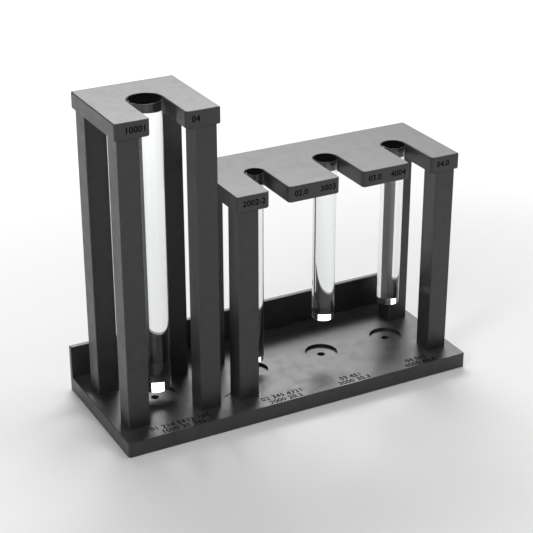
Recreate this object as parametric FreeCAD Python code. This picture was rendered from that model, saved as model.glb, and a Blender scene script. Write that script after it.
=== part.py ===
import FreeCAD, Part
import math
import os

# Drying rack for graduated cylinders.
# Millimetres. X runs along the front from left to right, Y from front to back, Z up.
# The origin is the middle of the footprint, on the surface that the rack stands on.

# Cylinders that hang in the rack
wide_diameter = 25.0
wide_length = 233.8
slim_diameter = 13.8
slim_length = 160.8
short_diameter = 18.3
short_length = 137.5
cylinder_edge_break = 0.6

# Slots: each is wider than its cylinder and open to the front, and its depth runs from the plate's
# front edge to the middle of its round end
slot_clearance = 2.0
slot_depth = 39.5
slot_spacing = 62.0
mouth_radius = 3.0
seat_gap = 0.3

# Drip recesses and drain holes under the cylinders, a little further back than the slots' round ends
recess_margin = 3.25
recess_depth = 2.35
recess_back_step = 2.3
drain_diameter = 6.4
tower_drip_height = 9.5
low_drip_height = 10.3

# Base plate and its margins around the two frames
base_thickness = 12.7
left_margin = 6.3
right_margin = 5.8
front_margin = 15.9
rear_margin = 15.7
frame_gap = 11.6
base_corner_radius = 2.5
base_edge_break = 0.5

# Rear wall
wall_thickness = 4.5
wall_height = 39.75
wall_corner_radius = 0.6
wall_edge_break = 0.5

# Posts and the plates on them
post_side = 17.0
post_edge_break = 0.5
post_depth_spacing = 59.8
tower_slot_to_post = 30.0
low_slot_to_post = 24.75
plate_thickness = 12.8
plate_overhang = 2.2
plate_corner_radius = 1.5
plate_edge_break = 0.6

# Square tenons at both ends of each post, in blind sockets
tenon_side = 9.0
tenon_length = 6.0
tenon_side_clearance = 0.15
tenon_end_clearance = 0.5

# Countersunk screws: from below into the posts, and through the rear wall into the base
foot_screw_diameter = 4.0
foot_screw_head = 8.0
foot_screw_length = 20.0
foot_screw_key = 2.5
wall_screw_diameter = 3.0
wall_screw_head = 5.6
wall_screw_length = 16.0
wall_screw_key = 2.0
wall_screw_count = 5
wall_screw_margin = 20.0
screw_sink = 0.3
screw_key_depth = 1.4
screw_hole_clearance = 0.25
screw_bore_clearance = 0.05
screw_bore_extra = 1.0

# Sizes that follow from the ones above
wide_slot = wide_diameter + slot_clearance
slim_slot = slim_diameter + slot_clearance
short_slot = short_diameter + slot_clearance
tower_height = base_thickness + tower_drip_height + wide_length
low_height = base_thickness + low_drip_height + slim_length
plate_depth = post_depth_spacing + post_side + 2 * plate_overhang
tower_post_spacing = 2 * tower_slot_to_post
low_post_spacing = 2 * slot_spacing + 2 * low_slot_to_post
tower_width = tower_post_spacing + post_side + 2 * plate_overhang
low_width = low_post_spacing + post_side + 2 * plate_overhang
base_width = left_margin + tower_width + frame_gap + low_width + right_margin
base_depth = front_margin + plate_depth + rear_margin
left = -base_width / 2
front = -(base_depth + wall_thickness) / 2
rear = front + base_depth
tower_left = left + left_margin
low_left = tower_left + tower_width + frame_gap
plate_front = front + front_margin
post_y = plate_front + plate_depth / 2
slot_y = plate_front + slot_depth
recess_y = slot_y + recess_back_step
tower_x = tower_left + tower_width / 2
low_x = low_left + low_width / 2
cylinder_back_step = slot_clearance / 2 - seat_gap
open_cut = 1.0

# One station per cylinder: its name, X, diameter, length and the top face it is flush with
stations = [
    ("cylinder_wide", tower_x, wide_diameter, wide_length, tower_height),
    ("cylinder_slim", low_x - slot_spacing, slim_diameter, slim_length, low_height),
    ("cylinder_middle", low_x, short_diameter, short_length, low_height),
    ("cylinder_right", low_x + slot_spacing, short_diameter, short_length, low_height),
]


def frame_posts(prefix, middle, spacing, height):
    """Name, centre and top of the four posts of one frame."""
    posts = []
    for row, side_y in (("front", -1), ("back", 1)):
        for hand, side_x in (("left", -1), ("right", 1)):
            x = middle + side_x * spacing / 2
            y = post_y + side_y * post_depth_spacing / 2
            posts.append((f"{prefix}_post_{row}_{hand}", x, y, height - plate_thickness))
    return posts


tower_posts = frame_posts("tower", tower_x, tower_post_spacing, tower_height)
low_posts = frame_posts("low", low_x, low_post_spacing, low_height)


def block(x, y, z, width, depth, height):
    return Part.makeBox(width, depth, height, FreeCAD.Vector(x, y, z))


def square_bar(x, y, bottom, top, side):
    return block(x - side / 2, y - side / 2, bottom, side, side, top - bottom)


def round_bar(x, y, bottom, top, diameter):
    return Part.makeCylinder(diameter / 2, top - bottom, FreeCAD.Vector(x, y, bottom))


def upright_edges(shape, wanted):
    """Edges along Z at the places that wanted(x, y) picks."""
    found = []
    for edge in shape.Edges:
        box = edge.BoundBox
        straight_up = box.XLength < 1e-6 and box.YLength < 1e-6
        if straight_up and wanted(box.Center.x, box.Center.y):
            found.append(edge)
    return found


def level_edges(shape, levels, wanted=lambda edge: True):
    """Edges that lie in one of the horizontal planes given."""
    found = []
    for edge in shape.Edges:
        box = edge.BoundBox
        in_plane = any(abs(box.ZMin - z) < 1e-5 and abs(box.ZMax - z) < 1e-5 for z in levels)
        if in_plane and wanted(edge):
            found.append(edge)
    return found


def countersunk_body(radius, head_radius, length):
    """Countersunk screw without its key socket, pointing up from its head's flat face at Z = 0."""
    corners = [
        (0, 0),
        (head_radius, 0),
        (radius, head_radius - radius),
        (radius, length),
        (0, length),
        (0, 0),
    ]
    wire = Part.makePolygon([FreeCAD.Vector(x, 0, z) for x, z in corners])
    return Part.Face(wire).revolve(FreeCAD.Vector(0, 0, 0), FreeCAD.Vector(0, 0, 1), 360)


def hex_socket(across_flats, depth):
    """Key socket that starts below the head's flat face."""
    radius = across_flats / math.sqrt(3)
    corners = []
    for step in range(7):
        angle = math.radians(60 * step)
        corners.append(FreeCAD.Vector(radius * math.cos(angle), radius * math.sin(angle), -open_cut))
    return Part.Face(Part.makePolygon(corners)).extrude(FreeCAD.Vector(0, 0, depth + open_cut))


def screw(diameter, head, length, key):
    body = countersunk_body(diameter / 2, head / 2, length)
    return body.cut(hex_socket(key, screw_key_depth))


def screw_hole(diameter, head, length):
    """Clearance hole and countersink for a screw, whose cone runs on past the surface below the head."""
    below = screw_sink + open_cut
    head_radius = head / 2 + screw_hole_clearance + below
    hole = countersunk_body(diameter / 2 + screw_hole_clearance, head_radius, length + below)
    hole.translate(FreeCAD.Vector(0, 0, -below))
    return hole


def at_foot(shape, x, y):
    """Places a screw or its hole under a post."""
    placed = shape.copy()
    placed.translate(FreeCAD.Vector(x, y, screw_sink))
    return placed


def at_wall(shape, x):
    """Places a screw or its hole at the back of the rear wall, pointing forward."""
    placed = shape.copy()
    placed.rotate(FreeCAD.Vector(0, 0, 0), FreeCAD.Vector(1, 0, 0), 90)
    placed.translate(FreeCAD.Vector(x, rear + wall_thickness - screw_sink, base_thickness / 2))
    return placed


def wall_screw_places():
    pitch = (base_width - 2 * wall_screw_margin) / (wall_screw_count - 1)
    return [left + wall_screw_margin + pitch * step for step in range(wall_screw_count)]


def tenon_socket(x, y, mouth, inward):
    """Blind square socket that opens at Z = mouth and goes inward, up (1) or down (-1)."""
    side = tenon_side + 2 * tenon_side_clearance
    end = mouth + inward * (tenon_length + tenon_end_clearance)
    return square_bar(x, y, min(mouth, end), max(mouth, end), side)


def make_base():
    slab = block(left, front, 0, base_width, base_depth, base_thickness)
    corners = upright_edges(slab, lambda x, y: abs(y - front) < 1e-6)
    slab = slab.makeFillet(base_corner_radius, corners)
    # The rear edges stay sharp, because the wall stands against them
    rim = level_edges(slab, (0, base_thickness), lambda edge: edge.BoundBox.YMin < rear - 1e-6)
    slab = slab.makeChamfer(base_edge_break, rim)
    for name, x, diameter, length, top in stations:
        recess = diameter + slot_clearance + 2 * recess_margin
        floor = base_thickness - recess_depth
        slab = slab.cut(round_bar(x, recess_y, floor, base_thickness + open_cut, recess))
        slab = slab.cut(round_bar(x, recess_y, -open_cut, base_thickness, drain_diameter))
    hole = screw_hole(foot_screw_diameter, foot_screw_head, base_thickness)
    for name, x, y, top in tower_posts + low_posts:
        slab = slab.cut(tenon_socket(x, y, base_thickness, -1))
        slab = slab.cut(at_foot(hole, x, y))
    reach = wall_screw_length - wall_thickness + screw_sink + screw_bore_extra
    for x in wall_screw_places():
        start = FreeCAD.Vector(x, rear, base_thickness / 2)
        radius = wall_screw_diameter / 2 + screw_bore_clearance
        slab = slab.cut(Part.makeCylinder(radius, reach, start, FreeCAD.Vector(0, -1, 0)))
    return slab


def make_wall():
    back = rear + wall_thickness
    wall = block(left, rear, 0, base_width, wall_thickness, wall_height)
    corners = upright_edges(wall, lambda x, y: abs(y - back) < 1e-6)
    wall = wall.makeFillet(wall_corner_radius, corners)
    rim = level_edges(wall, (wall_height,))
    wall = wall.makeChamfer(wall_edge_break, rim)
    hole = screw_hole(wall_screw_diameter, wall_screw_head, wall_screw_length)
    for x in wall_screw_places():
        wall = wall.cut(at_wall(hole, x))
    return wall


def slot_cutter(x, width, bottom, top):
    """U-shaped slot: straight sides from the front edge to a round end about the slot's centre."""
    start = plate_front - open_cut
    straight = block(x - width / 2, start, bottom, width, slot_y - start, top - bottom)
    return straight.fuse(round_bar(x, slot_y, bottom, top, width))


def make_plate(plate_left, width, top, slots, posts):
    bottom = top - plate_thickness
    plate = block(plate_left, plate_front, bottom, width, plate_depth, plate_thickness)
    plate = plate.makeFillet(plate_corner_radius, upright_edges(plate, lambda x, y: True))
    for x, slot in slots:
        plate = plate.cut(slot_cutter(x, slot, bottom - open_cut, top + open_cut))
    plate = plate.removeSplitter()
    sides = [x + hand * slot / 2 for x, slot in slots for hand in (-1, 1)]

    def at_mouth(x, y):
        return abs(y - plate_front) < 1e-6 and any(abs(x - side) < 1e-6 for side in sides)

    plate = plate.makeFillet(mouth_radius, upright_edges(plate, at_mouth))
    plate = plate.makeChamfer(plate_edge_break, level_edges(plate, (bottom, top)))
    for name, x, y, shoulder in posts:
        plate = plate.cut(tenon_socket(x, y, bottom, 1))
    return plate


def make_post(x, y, top):
    bar = square_bar(x, y, base_thickness, top, post_side)
    bar = bar.makeChamfer(post_edge_break, upright_edges(bar, lambda x, y: True))
    tenons = square_bar(x, y, base_thickness - tenon_length, top + tenon_length, tenon_side)
    bore_end = screw_sink + foot_screw_length + screw_bore_extra
    bore = round_bar(x, y, 0, bore_end, foot_screw_diameter + 2 * screw_bore_clearance)
    return bar.fuse(tenons).cut(bore).removeSplitter()


def make_cylinder(x, diameter, length, top):
    """Clear cylinder, flush with the plate's top and close to the slot's round end."""
    rod = round_bar(x, slot_y + cylinder_back_step, top - length, top, diameter)
    return rod.makeChamfer(cylinder_edge_break, level_edges(rod, (top - length, top)))


tower_slots = [(tower_x, wide_slot)]
low_slots = [
    (low_x - slot_spacing, slim_slot),
    (low_x, short_slot),
    (low_x + slot_spacing, short_slot),
]
foot_screw = screw(foot_screw_diameter, foot_screw_head, foot_screw_length, foot_screw_key)
wall_screw = screw(wall_screw_diameter, wall_screw_head, wall_screw_length, wall_screw_key)

nodes = {}
nodes["base_plate"] = make_base()
nodes["rear_wall"] = make_wall()
nodes["tower_plate"] = make_plate(tower_left, tower_width, tower_height, tower_slots, tower_posts)
nodes["low_plate"] = make_plate(low_left, low_width, low_height, low_slots, low_posts)
for name, x, y, top in tower_posts + low_posts:
    nodes[name] = make_post(x, y, top)
for name, x, diameter, length, top in stations:
    nodes[name] = make_cylinder(x, diameter, length, top)
foot_screws = [at_foot(foot_screw, x, y) for name, x, y, top in tower_posts + low_posts]
wall_screws = [at_wall(wall_screw, x) for x in wall_screw_places()]
nodes["foot_screws"] = Part.makeCompound(foot_screws)
nodes["wall_screws"] = Part.makeCompound(wall_screws)

os.makedirs("parts", exist_ok=True)
for name, shape in nodes.items():
    shape.exportStep(f"parts/{name}.step")
    print(name, len(shape.Solids), shape.isValid(), round(shape.Volume, 1))
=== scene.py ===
import math

import bmesh
import bpy
from bpy.props import FloatProperty, FloatVectorProperty, IntProperty, PointerProperty
from mathutils import Matrix, Vector


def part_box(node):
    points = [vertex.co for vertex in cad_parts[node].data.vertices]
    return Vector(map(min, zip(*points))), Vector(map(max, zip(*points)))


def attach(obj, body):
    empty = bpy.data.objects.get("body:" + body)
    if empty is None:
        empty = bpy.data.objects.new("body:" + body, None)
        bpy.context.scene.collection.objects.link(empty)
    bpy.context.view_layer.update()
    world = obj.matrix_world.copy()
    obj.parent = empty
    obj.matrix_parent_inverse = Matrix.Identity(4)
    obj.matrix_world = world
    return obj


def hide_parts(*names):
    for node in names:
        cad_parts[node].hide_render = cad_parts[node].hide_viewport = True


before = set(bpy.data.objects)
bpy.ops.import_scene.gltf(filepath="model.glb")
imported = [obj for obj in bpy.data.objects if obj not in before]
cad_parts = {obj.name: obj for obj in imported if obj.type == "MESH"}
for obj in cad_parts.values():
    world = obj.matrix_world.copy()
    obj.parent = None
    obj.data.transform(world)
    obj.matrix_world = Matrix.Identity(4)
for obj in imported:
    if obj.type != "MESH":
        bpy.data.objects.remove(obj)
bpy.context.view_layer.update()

bl_info = {
    "name": "Cylinder drying rack",
    "version": (1, 0, 0),
    "blender": (4, 5, 0),
    "location": "3D View > Sidebar > Drying Rack",
    "description": "Dresses a rack for measuring cylinders: engraved plates, screws and clear rods",
    "category": "Object",
}

MM = 0.001
POSTS = sorted(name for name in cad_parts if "_post_" in name)
CYLINDERS = ("cylinder_wide", "cylinder_slim", "cylinder_middle", "cylinder_right")


def middle(node):
    """Centre of a CAD node's box at rest."""
    low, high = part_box(node)
    return (low + high) / 2


# Settings


class PlasticSettings(bpy.types.PropertyGroup):
    colour: FloatVectorProperty(
        name="Colour", description="Colour of the black plastic", subtype="COLOR",
        size=3, min=0, max=1, default=(0.034, 0.034, 0.035))
    cloud_colour: FloatVectorProperty(
        name="Cloud colour", description="Colour of the paler clouds in the plastic",
        subtype="COLOR", size=3, min=0, max=1, default=(0.050, 0.050, 0.051))
    roughness: FloatProperty(
        name="Roughness", description="Roughness of the smoothest patches", subtype="FACTOR",
        min=0, max=1, default=0.3)
    roughness_spread: FloatProperty(
        name="Roughness spread", description="How much rougher the roughest patches are",
        subtype="FACTOR", min=0, max=1, default=0.15)
    cloud_size: FloatProperty(
        name="Cloud size", description="Size of the mottled patches", unit="LENGTH",
        default=10 * MM)
    grain_size: FloatProperty(
        name="Grain size", description="Size of the surface grain", unit="LENGTH", default=0.5 * MM)
    grain_depth: FloatProperty(
        name="Grain depth", description="Depth of the surface grain", unit="LENGTH",
        default=0.012 * MM)


class GlassSettings(bpy.types.PropertyGroup):
    colour: FloatVectorProperty(
        name="Colour", description="Tint of the clear cylinders", subtype="COLOR",
        size=3, min=0, max=1, default=(0.885, 0.9, 0.895))
    refraction: FloatProperty(
        name="Refraction", description="Index of refraction", min=1, max=2.5, default=1.5)
    rim_radius: FloatProperty(
        name="Rim radius", description="Rounding of both ends", unit="LENGTH", default=0.15 * MM)
    sides: IntProperty(name="Sides", description="Facets around a cylinder", min=16, default=192)


class MarkSettings(bpy.types.PropertyGroup):
    depth: FloatProperty(
        name="Depth", description="Depth of the engraving", unit="LENGTH", default=0.6 * MM)
    plate_size: FloatProperty(
        name="Plate size", description="Size of the type on the plates", unit="LENGTH",
        default=6.4 * MM)
    base_size: FloatProperty(
        name="Base size", description="Size of the type on the base", unit="LENGTH",
        default=6.8 * MM)
    boldness: FloatProperty(
        name="Boldness", description="How far the type's outline is moved out", unit="LENGTH",
        default=0.17 * MM)
    groove_width: FloatProperty(
        name="Groove width", description="Width of the short groove in the base", unit="LENGTH",
        default=0.9 * MM)
    row_pitch: FloatProperty(
        name="Row pitch", description="Distance between two rows on the base", unit="LENGTH",
        default=6.5 * MM)
    # painted shade: this near-black colour of the engraving's bottom and walls stands in for the
    # shade in the recesses
    colour: FloatVectorProperty(
        name="Colour", description="Colour at the bottom of the engraving", subtype="COLOR",
        size=3, min=0, max=1, default=(0.006, 0.006, 0.006))


class ScrewSettings(bpy.types.PropertyGroup):
    colour: FloatVectorProperty(
        name="Colour", description="Colour of the steel", subtype="COLOR",
        size=3, min=0, max=1, default=(0.46, 0.47, 0.48))
    thread_depth: FloatProperty(
        name="Thread depth", description="Depth of the thread", unit="LENGTH", default=0.3 * MM)
    rings: IntProperty(name="Rings", description="Facets along a screw", min=8, default=110)


class StageSettings(bpy.types.PropertyGroup):
    floor_colour: FloatVectorProperty(
        name="Floor colour", description="Colour of the floor", subtype="COLOR",
        size=3, min=0, max=1, default=(0.8, 0.8, 0.8))
    floor_size: FloatProperty(
        name="Floor size", description="Side of the square floor", unit="LENGTH", default=24.0)
    fill_light: FloatProperty(
        name="Fill light", description="Strength of the light from all round", min=0, default=0.12)
    low_reflection: FloatProperty(
        name="Low reflection", description="Strength of what reflections see near the horizon",
        min=0, max=1, default=0.665)
    high_reflection: FloatProperty(
        name="High reflection", description="Strength of what reflections see higher up",
        min=0, max=1, default=0.023)
    lens: FloatProperty(
        name="Lens", description="Focal length", unit="CAMERA", default=101.755)
    camera_place: FloatVectorProperty(
        name="Camera place", description="Where the camera stands", subtype="TRANSLATION",
        unit="LENGTH", size=3, default=(-0.504967, -0.945690, 0.604503))
    camera_turn: FloatVectorProperty(
        name="Camera turn", description="How the camera is turned", subtype="EULER",
        unit="ROTATION", size=3, default=(1.1309944, 0.0009374, -0.4879256))


# Materials

# Smallest and largest roughness of the finishes that have no setting for it
ROD_ROUGHNESS = (0.0, 0.01)
ENGRAVING_ROUGHNESS = (0.75, 0.95)
STEEL_ROUGHNESS = (0.26, 0.4)

ROD_STREAK_WIDTH = 4 * MM
ROD_STREAK_SCALE = (1, 1, 0.05)
ROD_STREAK_TINT = 0.01
ENGRAVING_DUST_SIZE = 1.5 * MM
ENGRAVING_DUST_TINT = 1.6
STEEL_MARK_SIZE = 0.6 * MM
STEEL_MARK_DEPTH = 0.01 * MM
STEEL_MARK_TINT = 0.8


def combined(nodes, links, operation, *values):
    """Several values joined by Math nodes with one operation."""
    result = values[0]
    for value in values[1:]:
        node = nodes.new("ShaderNodeMath")
        node.operation = operation
        links.new(result, node.inputs[0])
        links.new(value, node.inputs[1])
        result = node.outputs[0]
    return result


def ramp(nodes, links, value, start, end, low, high):
    """Maps value from start..end to low..high."""
    node = nodes.new("ShaderNodeMapRange")
    for name, number in (("From Min", start), ("From Max", end), ("To Min", low), ("To Max", high)):
        node.inputs[name].default_value = number
    links.new(value, node.inputs["Value"])
    return node.outputs["Result"]


class Shader:
    """A new material with a Principled BSDF and short calls for its nodes."""

    def __init__(self, name):
        self.material = bpy.data.materials.new(name)
        self.material.use_nodes = True
        self.nodes = self.material.node_tree.nodes
        self.links = self.material.node_tree.links
        self.surface = self.nodes["Principled BSDF"]
        self.place = self.nodes.new("ShaderNodeTexCoord").outputs["Object"]

    def stretched(self, scale):
        """The object's coordinates, scaled along each axis."""
        node = self.nodes.new("ShaderNodeMapping")
        node.inputs["Scale"].default_value = scale
        self.links.new(self.place, node.inputs["Vector"])
        return node.outputs["Vector"]

    def noise(self, size, detail=2.0, rough=0.5, vector=None):
        """Noise with patches of about this size, on the object's own or the given coordinates."""
        node = self.nodes.new("ShaderNodeTexNoise")
        node.inputs["Scale"].default_value = 1 / size
        node.inputs["Detail"].default_value = detail
        node.inputs["Roughness"].default_value = rough
        self.links.new(vector or self.place, node.inputs["Vector"])
        return node.outputs["Fac"]

    def spread(self, value, low, high, start=0.3, end=0.7):
        """Maps the middle of a noise's range onto low to high."""
        return ramp(self.nodes, self.links, value, start, end, low, high)

    def blend(self, factor, first, second):
        """A colour between two, by the factor."""
        node = self.nodes.new("ShaderNodeMix")
        node.data_type = "RGBA"
        self.links.new(factor, node.inputs["Factor"])
        # the sockets come once for each kind of value: these are A, B and Result for colours
        node.inputs[6].default_value = (*first, 1)
        node.inputs[7].default_value = (*second, 1)
        return node.outputs[2]

    def bump(self, height, depth):
        """Fine relief of this depth."""
        node = self.nodes.new("ShaderNodeBump")
        node.inputs["Distance"].default_value = depth
        self.links.new(height, node.inputs["Height"])
        self.links.new(node.outputs["Normal"], self.surface.inputs["Normal"])

    def feed(self, socket, value):
        """Links a value that varies over the surface."""
        self.links.new(value, self.surface.inputs[socket])

    def put(self, **values):
        """Sets values that are the same all over the surface."""
        for socket, value in values.items():
            self.surface.inputs[socket.replace("_", " ")].default_value = value


def make_plastic(settings):
    """Satin black plastic, faintly mottled, with a fine grain."""
    shader = Shader("satin_black")
    clouds = shader.noise(settings.cloud_size, detail=3.0, rough=0.6)
    factor = shader.spread(clouds, 0.0, 1.0)
    shader.feed("Base Color", shader.blend(factor, settings.colour, settings.cloud_colour))
    smoothest = settings.roughness
    roughest = smoothest + settings.roughness_spread
    shader.feed("Roughness", shader.spread(clouds, smoothest, roughest))
    shader.bump(shader.noise(settings.grain_size, detail=2.0), settings.grain_depth)
    shader.put(IOR=1.5)
    return shader.material


def make_glass(settings):
    """Clear glass with very faint streaks along the cylinder."""
    shader = Shader("clear_rod")
    streaks = shader.noise(ROD_STREAK_WIDTH, detail=1.0, vector=shader.stretched(ROD_STREAK_SCALE))
    tint = settings.colour
    paler = tuple(min(1.0, c + ROD_STREAK_TINT) for c in tint)
    shader.feed("Base Color", shader.blend(shader.spread(streaks, 0.0, 1.0), tint, paler))
    shader.feed("Roughness", shader.spread(streaks, *ROD_ROUGHNESS))
    shader.put(IOR=settings.refraction, Transmission_Weight=1.0)
    return shader.material


def make_engraving(settings):
    """Dull bottom and walls of the engraved numbers, darkened as painted shade in the recesses."""
    shader = Shader("engraving_painted_shade")
    dust = shader.spread(shader.noise(ENGRAVING_DUST_SIZE, detail=3.0), 0.0, 1.0)
    paler = tuple(c * ENGRAVING_DUST_TINT for c in settings.colour)
    # painted shade: the near-black colour stands in for the shade inside the engraving; the dust
    # gives paler random patches in it
    shader.feed("Base Color", shader.blend(dust, settings.colour, paler))
    shader.feed("Roughness", shader.spread(dust, *ENGRAVING_ROUGHNESS, start=0.0, end=1.0))
    shader.put(IOR=1.2)
    return shader.material


def make_steel(settings):
    """Plain steel with small dull marks."""
    shader = Shader("plain_steel")
    marks = shader.noise(STEEL_MARK_SIZE, detail=3.0)
    duller = tuple(c * STEEL_MARK_TINT for c in settings.colour)
    shader.feed("Base Color", shader.blend(shader.spread(marks, 0.0, 1.0), duller, settings.colour))
    shader.feed("Roughness", shader.spread(marks, *STEEL_ROUGHNESS))
    shader.bump(marks, STEEL_MARK_DEPTH)
    shader.put(Metallic=1.0)
    return shader.material


# Meshes

WELD_DISTANCE = 0.002 * MM
SAME_FACE_ANGLE = math.radians(0.2)
SHARP_EDGE_ANGLE = math.radians(30)
RIM_STEPS = 6


def plain_object(name, mesh):
    """A new object in the scene, at the origin."""
    piece = bpy.data.objects.new(name, mesh)
    bpy.context.scene.collection.objects.link(piece)
    return piece


def merged_copy(node):
    """The node's mesh as one closed mesh with flat faces whole, without the split normals."""
    work = bmesh.new()
    work.from_mesh(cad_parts[node].data)
    bmesh.ops.remove_doubles(work, verts=work.verts, dist=WELD_DISTANCE)
    bmesh.ops.dissolve_limit(
        work, angle_limit=SAME_FACE_ANGLE, verts=work.verts, edges=work.edges)
    work.verts.index_update()
    points = [vert.co.copy() for vert in work.verts]
    faces = [[vert.index for vert in face.verts] for face in work.faces]
    work.free()
    mesh = bpy.data.meshes.new(node)
    mesh.from_pydata(points, [], faces)
    return mesh


def engraved(name, node, cutter_mesh):
    """A copy of a CAD node with the cutter taken out of it and softly shaded edges."""
    mesh = merged_copy(node)
    mesh.materials.append(bpy.data.materials["satin_black"])
    piece = plain_object(name, mesh)
    cutter = plain_object(name + "_cutter", cutter_mesh)
    cut = piece.modifiers.new("engraving", "BOOLEAN")
    cut.operation, cut.solver, cut.object = "DIFFERENCE", "EXACT", cutter
    cut.material_mode = "TRANSFER"
    mesh = settled_mesh(piece)
    bpy.data.objects.remove(cutter)
    piece.modifiers.clear()
    piece.data = mesh
    soften(piece)
    return piece


def soften(piece):
    """Smooth shading round the corners, with the large faces and the edge breaks kept flat."""
    mesh = piece.data
    mesh.polygons.foreach_set("use_smooth", [True] * len(mesh.polygons))
    mesh.set_sharp_from_angle(angle=SHARP_EDGE_ANGLE)
    weights = piece.modifiers.new("flat faces", "WEIGHTED_NORMAL")
    weights.keep_sharp = True
    piece.data = settled_mesh(piece)
    piece.modifiers.clear()


def joined(name, meshes):
    """One mesh from several, each given with its place."""
    work = bmesh.new()
    for mesh, place in meshes:
        mesh.transform(place)
        work.from_mesh(mesh)
    whole = bpy.data.meshes.new(name)
    for material in meshes[0][0].materials:
        whole.materials.append(material)
    work.to_mesh(whole)
    work.free()
    return whole


def rod_outline(radius, bottom, top, rim):
    """Half section of a rod with rounded rims, as (radius, height) from the bottom to the top."""
    low = []
    for step in range(RIM_STEPS + 1):
        angle = math.pi / 2 * step / RIM_STEPS
        low.append((radius - rim + rim * math.sin(angle), bottom + rim - rim * math.cos(angle)))
    # a narrow ring next to the rim keeps the shading of the long wall straight
    low.append((radius, bottom + rim * 1.25))
    high = [(r, top + bottom - z) for r, z in reversed(low)]
    return low + high


def make_rod(name, node, settings):
    """Closed round rod in the place of a CAD node, its long wall and rims shaded smooth."""
    low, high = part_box(node)
    centre = middle(node)
    outline = rod_outline((high.x - low.x) / 2, low.z, high.z, settings.rim_radius)
    sides = settings.sides
    points = []
    for radius, z in outline:
        for side in range(sides):
            angle = 2 * math.pi * side / sides
            x = centre.x + radius * math.cos(angle)
            y = centre.y + radius * math.sin(angle)
            points.append((x, y, z))
    faces = [tuple(reversed(range(sides)))]
    for ring in range(len(outline) - 1):
        for side in range(sides):
            after = (side + 1) % sides
            a, b = ring * sides, (ring + 1) * sides
            faces.append((a + side, a + after, b + after, b + side))
    last = (len(outline) - 1) * sides
    faces.append(tuple(range(last, last + sides)))
    mesh = bpy.data.meshes.new(name)
    mesh.from_pydata(points, [], faces)
    mesh.polygons.foreach_set("use_smooth", [len(face) == 4 for face in faces])
    mesh.update()
    return plain_object(name, mesh)


# Geometry Nodes


class Plan:
    """A new Geometry Nodes tree with named inputs and short calls for its nodes."""

    def __init__(self, name):
        self.tree = bpy.data.node_groups.new(name, "GeometryNodeTree")
        self.tree.is_modifier = True
        for way in ("INPUT", "OUTPUT"):
            self.tree.interface.new_socket("Geometry", in_out=way, socket_type="NodeSocketGeometry")
        self.start = self.tree.nodes.new("NodeGroupInput")
        self.end = self.tree.nodes.new("NodeGroupOutput")

    def setting(self, name, kind):
        """A named input of the tree."""
        self.tree.interface.new_socket(name, in_out="INPUT", socket_type="NodeSocket" + kind)
        return self.start.outputs[name]

    def fill(self, socket, value):
        """Links an output to the socket, or sets the socket to a value."""
        if isinstance(value, bpy.types.NodeSocket):
            self.tree.links.new(value, socket)
        else:
            socket.default_value = value

    def node(self, kind, how=None, **inputs):
        """A node set up by how, with its inputs by name: a socket is linked, a value is set."""
        node = self.tree.nodes.new(kind)
        for name, value in (how or {}).items():
            setattr(node, name, value)
        for name, value in inputs.items():
            self.fill(node.inputs[name.replace("_", " ")], value)
        return node.outputs[0]

    def maths(self, operation, *values):
        """A number from a Math node: each value is a socket or a number."""
        node = self.tree.nodes.new("ShaderNodeMath")
        node.operation = operation
        for socket, value in zip(node.inputs, values):
            self.fill(socket, value)
        return node.outputs[0]

    def vectors(self, operation, *values):
        """Like maths, for vectors. Lengths and dot products come out as numbers."""
        node = self.tree.nodes.new("ShaderNodeVectorMath")
        node.operation = operation
        for socket, value in zip(node.inputs, values):
            self.fill(socket, value)
        return node.outputs["Value" if operation in ("DOT_PRODUCT", "LENGTH") else "Vector"]

    def vector(self, x=0.0, y=0.0, z=0.0):
        """A vector from its parts."""
        return self.node("ShaderNodeCombineXYZ", X=x, Y=y, Z=z)

    def moved(self, geometry, x=0.0, y=0.0, z=0.0):
        """The geometry, shifted."""
        shift = self.vector(x, y, z)
        return self.node("GeometryNodeTransform", Geometry=geometry, Translation=shift)

    def join(self, *parts):
        """Several geometries as one."""
        node = self.tree.nodes.new("GeometryNodeJoinGeometry")
        for part in parts:
            self.tree.links.new(part, node.inputs[0])
        return node.outputs[0]

    def finish(self, geometry, material):
        """Ends the tree in Realize Instances and Set Material."""
        whole = self.node("GeometryNodeRealizeInstances", Geometry=geometry)
        done = self.node("GeometryNodeSetMaterial", Geometry=whole, Material=material)
        self.tree.links.new(done, self.end.inputs[0])
        return self.tree


def grown_mesh(tree, values, points=((0, 0, 0),)):
    """Plain mesh that the tree gives on an object with these points."""
    seed = bpy.data.meshes.new(tree.name)
    seed.from_pydata(list(points), [], [])
    carrier = plain_object(tree.name, seed)
    modifier = carrier.modifiers.new("plan", "NODES")
    modifier.node_group = tree
    inputs = [item for item in tree.interface.items_tree if item.in_out == "INPUT"]
    identifiers = {item.name: item.identifier for item in inputs}
    for name, value in values.items():
        modifier[identifiers[name]] = value
    mesh = settled_mesh(carrier)
    bpy.data.objects.remove(carrier)
    mesh.materials.clear()
    mesh.materials.append(values["Material"])
    mesh.polygons.foreach_set("material_index", [0] * len(mesh.polygons))
    if not mesh.polygons:
        raise RuntimeError(f"the tree {tree.name} gave no faces")
    return mesh


def settled_mesh(piece):
    """Plain mesh of the piece with its modifiers applied."""
    piece.update_tag()
    depsgraph = bpy.context.evaluated_depsgraph_get()
    return bpy.data.meshes.new_from_object(piece.evaluated_get(depsgraph))


# Space between numerals, as a part of the type's own, so that bold ones don't touch
LETTER_SPACING = 1.06
CURVE_RESOLUTION = 5
# Shorter edges of the type would cross over when the outline moves out
SHORTEST_EDGE = 0.06 * MM
# Sine of half the sharpest corner that keeps its point
SHARPEST_CORNER = 0.25
# Joins the numerals' walls with their undersides
SEAM_DISTANCE = 0.001 * MM


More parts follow.
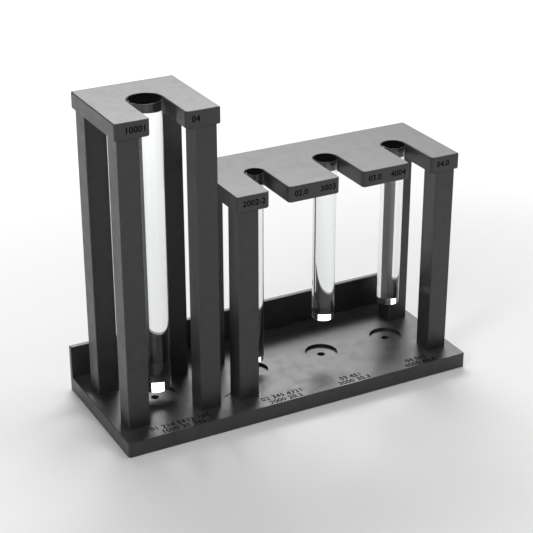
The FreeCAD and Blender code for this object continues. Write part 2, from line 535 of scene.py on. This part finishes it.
def way_to(plan, step):
    """From each point of an outline to the one after it (1) or before it (-1)."""
    place = plan.node("GeometryNodeInputPosition")
    index = plan.tree.nodes.new("GeometryNodeOffsetPointInCurve")
    index.inputs["Offset"].default_value = step
    beside = plan.tree.nodes.new("GeometryNodeFieldAtIndex")
    beside.data_type = "FLOAT_VECTOR"
    plan.fill(beside.inputs["Value"], place)
    plan.fill(beside.inputs["Index"], index.outputs["Point Index"])
    return plan.vectors("SUBTRACT", beside.outputs["Value"], place)


def outline_shift(plan, distance):
    """How far each point of an outline moves, so that its edges move out by the distance."""
    back = plan.vectors("NORMALIZE", way_to(plan, -1))
    onward = plan.vectors("NORMALIZE", way_to(plan, 1))
    along = plan.vectors("NORMALIZE", plan.vectors("SUBTRACT", onward, back))
    outward = plan.vectors("CROSS_PRODUCT", along, (0, 0, 1))
    edge_outward = plan.vectors("CROSS_PRODUCT", onward, (0, 0, 1))
    corner = plan.vectors("DOT_PRODUCT", outward, edge_outward)
    corner = plan.maths("MAXIMUM", corner, SHARPEST_CORNER)
    scale = plan.tree.nodes.new("ShaderNodeVectorMath")
    scale.operation = "SCALE"
    plan.fill(scale.inputs[0], outward)
    plan.fill(scale.inputs["Scale"], plan.maths("DIVIDE", distance, corner))
    return scale.outputs["Vector"]


def marking_plan():
    """Rows of numerals as closed solids, to cut into a face at Z = 0."""
    plan = Plan("number_rows")
    rows = [plan.setting("Upper row", "String"), plan.setting("Lower row", "String")]
    size = plan.setting("Size", "Float")
    row_pitch = plan.setting("Row pitch", "Float")
    boldness = plan.setting("Boldness", "Float")
    depth = plan.setting("Depth", "Float")
    above = plan.setting("Height above", "Float")
    material = plan.setting("Material", "Material")
    lines = []
    for level, text in enumerate(rows):
        line = plan.node(
            "GeometryNodeStringToCurves", {"align_x": "CENTER", "align_y": "MIDDLE"},
            String=text, Size=size, Character_Spacing=LETTER_SPACING)
        lines.append(plan.moved(line, y=plan.maths("MULTIPLY", row_pitch, 0.5 - level)))
    outlines = plan.node("GeometryNodeRealizeInstances", Geometry=plan.join(*lines))
    outlines = plan.node(
        "GeometryNodeSetSplineResolution", Geometry=outlines, Resolution=CURVE_RESOLUTION)
    outlines = plan.node("GeometryNodeResampleCurve", {"mode": "EVALUATED"}, Curve=outlines)
    short = plan.maths("LESS_THAN", plan.vectors("LENGTH", way_to(plan, 1)), SHORTEST_EDGE)
    outlines = plan.node("GeometryNodeDeleteGeometry", Geometry=outlines, Selection=short)
    outlines = plan.node(
        "GeometryNodeSetPosition", Geometry=outlines, Offset=outline_shift(plan, boldness))
    filled = plan.node("GeometryNodeFillCurve", Curve=outlines)
    filled = plan.node("GeometryNodeMergeByDistance", Geometry=filled, Distance=SHORTEST_EDGE)
    flat = plan.moved(filled, z=plan.maths("MULTIPLY", depth, -1.0))
    rise = plan.vector(z=plan.maths("ADD", depth, above))
    raised = plan.node("GeometryNodeExtrudeMesh", Mesh=flat, Offset=rise, Individual=False)
    under = plan.node("GeometryNodeFlipFaces", Mesh=flat)
    solid = plan.node(
        "GeometryNodeMergeByDistance", Geometry=plan.join(raised, under), Distance=SEAM_DISTANCE)
    return plan.finish(solid, material)


SCREW_FACETS = 32
KEY_FACETS = 6
# Radius of the screw's tip, as a part of the shank's
TIP_RADIUS = 0.75


def screw_plan():
    """A countersunk screw with a key socket and a thread on each point, its head's face there."""
    plan = Plan("countersunk_screws")
    points = plan.start.outputs["Geometry"]
    head = plan.setting("Head radius", "Float")
    shank = plan.setting("Shank radius", "Float")
    length = plan.setting("Length", "Float")
    pitch = plan.setting("Thread pitch", "Float")
    groove = plan.setting("Thread depth", "Float")
    rings = plan.setting("Rings", "Int")
    key = plan.setting("Key radius", "Float")
    key_depth = plan.setting("Key depth", "Float")
    turn = plan.setting("Turn", "Vector")
    material = plan.setting("Material", "Material")

    # a round bar of radius 1 gets the screw's own radius at each height
    bar = plan.node(
        "GeometryNodeMeshCylinder", Vertices=SCREW_FACETS, Side_Segments=rings, Radius=1.0,
        Depth=length)
    bar = plan.moved(bar, z=plan.maths("MULTIPLY", length, 0.5))
    split = plan.tree.nodes.new("ShaderNodeSeparateXYZ")
    plan.fill(split.inputs[0], plan.node("GeometryNodeInputPosition"))
    x, y, z = split.outputs
    cone = plan.maths("SUBTRACT", head, z)
    turns = plan.maths("DIVIDE", plan.maths("ARCTAN2", y, x), 2 * math.pi)
    wave = plan.maths("FRACT", plan.maths("SUBTRACT", plan.maths("DIVIDE", z, pitch), turns))
    ripple = plan.maths("ABSOLUTE", plan.maths("MULTIPLY_ADD", wave, 2.0, -1.0))
    thread = plan.maths("SUBTRACT", shank, plan.maths("MULTIPLY", ripple, groove))
    tip = plan.maths(
        "ADD", plan.maths("SUBTRACT", length, z), plan.maths("MULTIPLY", shank, TIP_RADIUS))
    radius = plan.maths("MAXIMUM", cone, plan.maths("MINIMUM", thread, tip))
    shaped = plan.vector(plan.maths("MULTIPLY", x, radius), plan.maths("MULTIPLY", y, radius), z)
    bar = plan.node("GeometryNodeSetPosition", Geometry=bar, Position=shaped)
    # the cutter for the socket is centred on the head's face, so half of it cuts
    socket = plan.node(
        "GeometryNodeMeshCylinder", Vertices=KEY_FACETS, Radius=key,
        Depth=plan.maths("MULTIPLY", key_depth, 2.0))
    cut = plan.tree.nodes.new("GeometryNodeMeshBoolean")
    cut.operation, cut.solver = "DIFFERENCE", "EXACT"
    plan.fill(cut.inputs["Mesh 1"], bar)
    plan.fill(cut.inputs["Mesh 2"], socket)
    rotation = plan.node("FunctionNodeEulerToRotation", Euler=turn)
    screws = plan.node(
        "GeometryNodeInstanceOnPoints", Points=points, Instance=cut.outputs[0], Rotation=rotation)
    return plan.finish(screws, material)


# Stage

FLOOR_GLOW = (
    # centre (x, y), distance from it where the glow starts, distance where it is full (m), strength
    ((0.0, 0.0), 0.4, 1.0, 0.069),
    ((0.1, 0.15), 0.2, 0.6, 0.075),
    ((0.15, 0.3), 0.1, 0.8, 0.132),
)


def make_floor(settings):
    """Pale floor that turns white away from the rack, to the camera and in reflections only."""
    half = settings.floor_size / 2
    mesh = bpy.data.meshes.new("floor")
    corners = [(-half, -half, 0), (half, -half, 0), (half, half, 0), (-half, half, 0)]
    mesh.from_pydata(corners, [], [(0, 1, 2, 3)])
    floor = plain_object("floor", mesh)
    shader = Shader("pale_floor")
    shader.put(Base_Color=(*settings.floor_colour, 1), Roughness=0.9, Emission_Color=(1, 1, 1, 1))
    nodes, links = shader.nodes, shader.links
    glow = None
    for centre, start, end, strength in FLOOR_GLOW:
        distance = nodes.new("ShaderNodeVectorMath")
        distance.operation = "DISTANCE"
        distance.inputs[1].default_value = (*centre, 0)
        links.new(shader.place, distance.inputs[0])
        part = ramp(nodes, links, distance.outputs["Value"], start, end, 0.0, strength)
        glow = part if glow is None else combined(nodes, links, "ADD", glow, part)
    path = nodes.new("ShaderNodeLightPath").outputs
    seen = combined(
        nodes, links, "MAXIMUM",
        path["Is Camera Ray"], path["Is Glossy Ray"], path["Is Transmission Ray"])
    shader.feed("Emission Strength", combined(nodes, links, "MULTIPLY", glow, seen))
    mesh.materials.append(shader.material)


# Sine of the elevations between which reflections turn from the low to the high strength
HORIZON_BAND = (0.203, 0.213)


def make_world(settings):
    """White to the camera; reflections and clear pieces see it pale low down and dark above."""
    world = bpy.data.worlds.new("studio")
    bpy.context.scene.world = world
    world.use_nodes = True
    nodes, links = world.node_tree.nodes, world.node_tree.links
    back = nodes["Background"]
    back.inputs["Color"].default_value = (1, 1, 1, 1)
    split = nodes.new("ShaderNodeSeparateXYZ")
    links.new(nodes.new("ShaderNodeTexCoord").outputs["Generated"], split.inputs[0])
    reflected = ramp(
        nodes, links, split.outputs["Z"], *HORIZON_BAND,
        settings.low_reflection, settings.high_reflection)
    path = nodes.new("ShaderNodeLightPath").outputs
    shiny = combined(nodes, links, "MAXIMUM", path["Is Glossy Ray"], path["Is Transmission Ray"])
    mirrored = combined(nodes, links, "MULTIPLY", reflected, shiny)
    fill = ramp(nodes, links, path["Is Diffuse Ray"], 0.0, 1.0, 0.0, settings.fill_light)
    total = combined(nodes, links, "MAXIMUM", path["Is Camera Ray"], mirrored, fill)
    links.new(total, back.inputs["Strength"])


LAMP_AIM = Vector((0, 0, 0.1))
LAMPS = (
    # name, azimuth from +X and elevation (degrees), distance, width, height (m), brightness
    ("back_softbox_lower", 68, 28.7, 2.2, 2.099, 0.331, 2.95),
    ("back_softbox_upper", 68, 38, 2.2, 2.099, 0.385, 11.86),
    ("back_softbox_high", 72, 42, 2.2, 1.179, 1.179, 2.42),
    ("front_top_softbox", 270, 75, 3.0, 1.058, 1.058, 0.4),
    ("right_top_softbox", 0, 72, 3.0, 1.058, 1.058, 5.55),
    ("right_front_softbox", 320, 52, 3.0, 0.843, 0.843, 1.83),
    ("left_softbox", 210, 30, 3.0, 0.843, 0.843, 8.32),
    ("left_top_softbox", 200, 52, 3.0, 0.843, 0.843, 1.92),
)


def make_lamp(name, azimuth, elevation, distance, width, height, brightness):
    """Softbox that faces the rack. A brightness of 1 is white in a mirror."""
    data = bpy.data.lights.new(name, "AREA")
    data.shape = "RECTANGLE"
    data.size, data.size_y = width, height
    data.energy = brightness * math.pi * width * height
    lamp = bpy.data.objects.new(name, data)
    bpy.context.scene.collection.objects.link(lamp)
    turn, rise = math.radians(azimuth), math.radians(elevation)
    level = math.cos(rise)
    away = Vector((math.cos(turn) * level, math.sin(turn) * level, math.sin(rise)))
    lamp.location = LAMP_AIM + away * distance
    lamp.rotation_euler = away.to_track_quat("Z", "Y").to_euler()
    lamp.visible_camera = False


def make_camera(settings):
    """The camera at the place from which the rack is seen as in the photo."""
    data = bpy.data.cameras.new("camera")
    data.lens = settings.lens
    data.sensor_width = 36
    data.clip_start, data.clip_end = 0.01, 100
    camera = bpy.data.objects.new("camera", data)
    bpy.context.scene.collection.objects.link(camera)
    camera.location = settings.camera_place
    camera.rotation_euler = settings.camera_turn
    bpy.context.scene.camera = camera


# Engraved marks

# How far the cutters stand out of the face that they cut
CUTTER_RISE = 0.3 * MM
BASE_MARKS = {
    # cylinder: upper row, lower row
    "cylinder_wide": ("01 234 5432 101", "1000 20 345"),
    "cylinder_slim": ("02 345 4321", "2000 20.2"),
    "cylinder_middle": ("03 451", "3000 30.3"),
    "cylinder_right": ("04 541", "4000 40.4"),
}
# From the base's front edge to the middle of the two rows
BASE_MARK_SETBACK = 7.3 * MM
# The groove starts beside the low frame's front left post and ends at that post's left face
GROOVE_START = (-56.4 * MM, -29.85 * MM)
GROOVE_END = (-48.2 * MM, -26.5 * MM)
PLATE_MARKS = {
    # plate: for each slot its cylinder, and the numbers left and right of it, with their distance
    "tower_plate": (
        ("cylinder_wide", ("10001", 12.2 * MM), ("04", 8.7 * MM)),
    ),
    "low_plate": (
        ("cylinder_slim", ("2002-2", 14.2 * MM), ("02.0", 11.5 * MM)),
        ("cylinder_middle", ("3003", 11.4 * MM), ("03.0", 11.5 * MM)),
        ("cylinder_right", ("4004", 11.4 * MM), ("04.0", 11.5 * MM)),
    ),
}
# From the plate's top face down to the middle of the numbers
PLATE_MARK_DROP = 6.3 * MM


def mark_mesh(settings, size, upper, lower=""):
    """Cutter for one or two rows of numerals, the rows' middle at the origin."""
    values = {
        "Upper row": upper,
        "Lower row": lower,
        "Size": size,
        "Row pitch": settings.row_pitch if lower else 0.0,
        "Boldness": settings.boldness,
        "Depth": settings.depth,
        "Height above": CUTTER_RISE,
        "Material": bpy.data.materials["engraving_painted_shade"],
    }
    return grown_mesh(bpy.data.node_groups["number_rows"], values)


def groove_mesh(settings):
    """Cutter for the short straight groove in the base."""
    start, end = (Vector((x, y, 0)) for x, y in (GROOVE_START, GROOVE_END))
    along = (end - start).normalized()
    side = Vector((-along.y, along.x, 0)) * (settings.groove_width / 2)
    ring = [start - side, end - side, end + side, start + side]
    points = [Vector((p.x, p.y, z)) for z in (-settings.depth, CUTTER_RISE) for p in ring]
    faces = [(3, 2, 1, 0), (4, 5, 6, 7)]
    faces += [(k, (k + 1) % 4, (k + 1) % 4 + 4, k + 4) for k in range(4)]
    mesh = bpy.data.meshes.new("groove")
    mesh.from_pydata(points, [], faces)
    # the groove gets the same painted shade as the engraved numbers
    mesh.materials.append(bpy.data.materials["engraving_painted_shade"])
    return mesh


# Screws

SCREW_SIZES = {
    # CAD node: piece, radii of head and shank, length, thread pitch, radius and depth of the key
    # socket (mm), turn about X (degrees)
    "foot_screws": ("foot_screw_set", 4.0, 2.0, 20.0, 0.7, 1.44, 1.4, 0.0),
    "wall_screws": ("wall_screw_set", 2.8, 1.5, 16.0, 0.5, 1.15, 1.4, 90.0),
}
WALL_SCREW_COUNT = 5


def screw_places():
    """Middle of each screw's head, for each CAD node with screws."""
    foot_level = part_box("foot_screws")[0].z
    low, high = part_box("wall_screws")
    head = (high.z - low.z) / 2
    pitch = (high.x - low.x - 2 * head) / (WALL_SCREW_COUNT - 1)
    level = (low.z + high.z) / 2
    steps = range(WALL_SCREW_COUNT)
    return {
        "foot_screws": [(middle(post).x, middle(post).y, foot_level) for post in POSTS],
        "wall_screws": [(low.x + head + pitch * step, high.y, level) for step in steps],
    }


# Operators


class RACK_OT_frame(bpy.types.Operator):
    """Finish the rear wall and the posts in black plastic"""

    bl_idname = "drying_rack.frame"
    bl_label = "Finish the wall and posts"

    def execute(self, context):
        plastic = make_plastic(context.scene.rack_plastic)
        for name in ["rear_wall"] + POSTS:
            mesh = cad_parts[name].data
            mesh.materials.clear()
            mesh.materials.append(plastic)
        return {"FINISHED"}


class RACK_OT_base(bpy.types.Operator):
    """Make the base with two rows of plain numbers engraved in front of each station"""

    bl_idname = "drying_rack.base"
    bl_label = "Make the base"

    def execute(self, context):
        settings = context.scene.rack_marks
        make_engraving(settings)
        marking_plan()
        low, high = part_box("base_plate")
        cutters = []
        for node, (upper, lower) in BASE_MARKS.items():
            place = Matrix.Translation((middle(node).x, low.y + BASE_MARK_SETBACK, high.z))
            cutters.append((mark_mesh(settings, settings.base_size, upper, lower), place))
        cutters.append((groove_mesh(settings), Matrix.Translation((0, 0, high.z))))
        base = engraved("base_engraved", "base_plate", joined("base_marks", cutters))
        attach(base, "rack")
        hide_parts("base_plate")
        return {"FINISHED"}


class RACK_OT_plates(bpy.types.Operator):
    """Make the two slotted plates with a plain number at each side of each slot"""

    bl_idname = "drying_rack.plates"
    bl_label = "Make the plates"

    def execute(self, context):
        settings = context.scene.rack_marks
        upright = Matrix.Rotation(math.radians(90), 4, "X")
        for node, marks in PLATE_MARKS.items():
            low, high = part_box(node)
            level = high.z - PLATE_MARK_DROP
            cutters = []
            for cylinder, (left, left_gap), (right, right_gap) in marks:
                rod_low, rod_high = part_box(cylinder)
                for text, x in ((left, rod_low.x - left_gap), (right, rod_high.x + right_gap)):
                    mark = mark_mesh(settings, settings.plate_size, text)
                    cutters.append((mark, Matrix.Translation((x, low.y, level)) @ upright))
            plate = engraved(node + "_engraved", node, joined(node + "_marks", cutters))
            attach(plate, "rack")
            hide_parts(node)
        return {"FINISHED"}


class RACK_OT_screws(bpy.types.Operator):
    """Make the countersunk screws under the base and in the rear wall"""

    bl_idname = "drying_rack.screws"
    bl_label = "Make the screws"

    def execute(self, context):
        settings = context.scene.rack_screws
        steel = make_steel(settings)
        plan = screw_plan()
        places = screw_places()
        for node, sizes in SCREW_SIZES.items():
            name, head, shank, length, pitch, key, key_depth, turn = sizes
            values = {
                "Head radius": head * MM,
                "Shank radius": shank * MM,
                "Length": length * MM,
                "Thread pitch": pitch * MM,
                "Thread depth": settings.thread_depth,
                "Rings": settings.rings,
                "Key radius": key * MM,
                "Key depth": key_depth * MM,
                "Turn": (math.radians(turn), 0, 0),
                "Material": steel,
            }
            screws = plain_object(name, grown_mesh(plan, values, places[node]))
            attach(screws, "rack")
            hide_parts(node)
        return {"FINISHED"}


class RACK_OT_cylinders(bpy.types.Operator):
    """Make the four clear cylinders"""

    bl_idname = "drying_rack.cylinders"
    bl_label = "Make the cylinders"

    def execute(self, context):
        settings = context.scene.rack_glass
        glass = make_glass(settings)
        for node in CYLINDERS:
            rod = make_rod(node.replace("cylinder", "glass_rod"), node, settings)
            rod.data.materials.append(glass)
            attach(rod, node)
            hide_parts(node)
        return {"FINISHED"}


class RACK_OT_stage(bpy.types.Operator):
    """Set up the floor, the lamps and the camera"""

    bl_idname = "drying_rack.stage"
    bl_label = "Set up the stage"

    def execute(self, context):
        settings = context.scene.rack_stage
        make_floor(settings)
        make_world(settings)
        for lamp in LAMPS:
            make_lamp(*lamp)
        make_camera(settings)
        context.scene.view_settings.view_transform = "Standard"
        return {"FINISHED"}


class RACK_PT_sidebar(bpy.types.Panel):
    """Lists the rack's operators"""

    bl_idname = "RACK_PT_sidebar"
    bl_label = "Drying rack"
    bl_space_type = "VIEW_3D"
    bl_region_type = "UI"
    bl_category = "Drying Rack"

    def draw(self, context):
        for operator in OPERATORS:
            self.layout.operator(operator.bl_idname)


OPERATORS = (
    RACK_OT_frame,
    RACK_OT_base,
    RACK_OT_plates,
    RACK_OT_screws,
    RACK_OT_cylinders,
    RACK_OT_stage,
)
GROUPS = (
    ("rack_plastic", PlasticSettings),
    ("rack_glass", GlassSettings),
    ("rack_marks", MarkSettings),
    ("rack_screws", ScrewSettings),
    ("rack_stage", StageSettings),
)


def register():
    for name, group in GROUPS:
        bpy.utils.register_class(group)
        setattr(bpy.types.Scene, name, PointerProperty(type=group))
    for item in OPERATORS + (RACK_PT_sidebar,):
        bpy.utils.register_class(item)


def unregister():
    for item in reversed(OPERATORS + (RACK_PT_sidebar,)):
        bpy.utils.unregister_class(item)
    for name, group in reversed(GROUPS):
        delattr(bpy.types.Scene, name)
        bpy.utils.unregister_class(group)


def main():
    """Builds everything."""
    register()
    bpy.ops.drying_rack.frame()
    bpy.ops.drying_rack.base()
    bpy.ops.drying_rack.plates()
    bpy.ops.drying_rack.screws()
    bpy.ops.drying_rack.cylinders()
    bpy.ops.drying_rack.stage()


if __name__ == "__main__":
    main()
